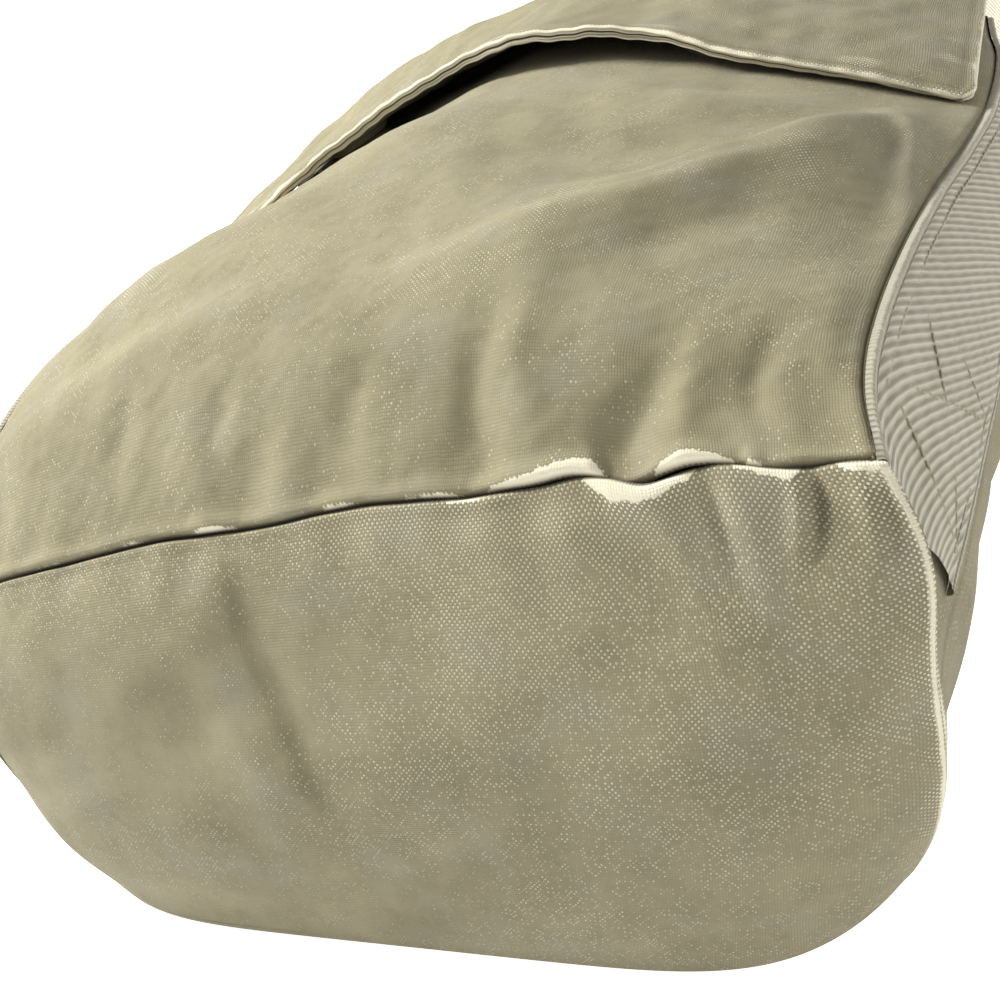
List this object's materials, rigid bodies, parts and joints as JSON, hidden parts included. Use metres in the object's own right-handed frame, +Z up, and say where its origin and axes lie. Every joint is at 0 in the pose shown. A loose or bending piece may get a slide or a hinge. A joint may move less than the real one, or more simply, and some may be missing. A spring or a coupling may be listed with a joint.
{
  "type": "messenger bag",
  "caption": "Worn olive cotton-canvas messenger bag, stuffed and lying on its back, with a fold-over flap, wide side webbing and a webbing shoulder strap.",
  "frame": {"origin": "on the floor plane under the middle of the seam between the front panel and the bottom panel, on the back panel's flat outer face", "axes": "+X to the bag's right side as seen from its bottom, +Y from the bottom panel towards the mouth and strap, +Z up out of the front panel; the bag lies on its back"},
  "size_m": [0.3156, 0.6218, 0.1573],
  "materials": {
    "canvas": "worn olive-grey cotton canvas",
    "webbing": "heavy twill cotton webbing",
    "thread": "grey-olive sewing thread",
    "zip_tape": "woven zip tape with coil chain",
    "metal": "dull antique-finished zinc alloy"
  },
  "bodies": {
    "bag": {"front_panel": "canvas", "back_panel": "canvas", "bottom_panel": "canvas", "gusset_right": "canvas", "gusset_left": "canvas", "webbing_right": "webbing", "webbing_left": "webbing", "box_stitch_right": "thread", "box_stitch_left": "thread", "facing_front": "canvas", "facing_back": "canvas", "pocket_panel": "canvas", "zip_tape": "zip_tape", "magnet_body_right": "metal", "magnet_body_left": "metal"},
    "flap": {"flap_outer": "canvas", "flap_lining": "canvas", "magnet_flap_right": "metal", "magnet_flap_left": "metal"},
    "strap": {"strap_long": "webbing", "strap_short": "webbing", "strap_ring": "metal"},
    "adjuster": {"strap_adjuster": "metal"},
    "slider": {"zip_slider": "metal"},
    "pull": {"zip_pull": "metal"}
  },
  "joints": [
    {"name": "flap_open", "type": "hinge", "parent": "bag", "child": "flap", "pos_m": [0, 0.288, 0.044], "axis": [-1, 0, 0], "range_deg": [0, 115]},
    {"name": "strap_swing", "type": "hinge", "parent": "bag", "child": "strap", "pos_m": [0, 0.286, 0.0615], "axis": [1, 0, 0], "range_deg": [0, 95]},
    {"name": "adjuster_slide", "type": "slide", "parent": "strap", "child": "adjuster", "axis": [0, -0.9784, 0.2066], "range_m": [0, 0.07]},
    {"name": "zip_run", "type": "slide", "parent": "bag", "child": "slider", "axis": [1, 0, 0], "range_m": [0, 0.115]},
    {"name": "pull_swing", "type": "hinge", "parent": "slider", "child": "pull", "pos_m": [-0.06, 0.167, 0.0074], "axis": [0, -1, 0], "range_deg": [0, 160]}
  ]
}
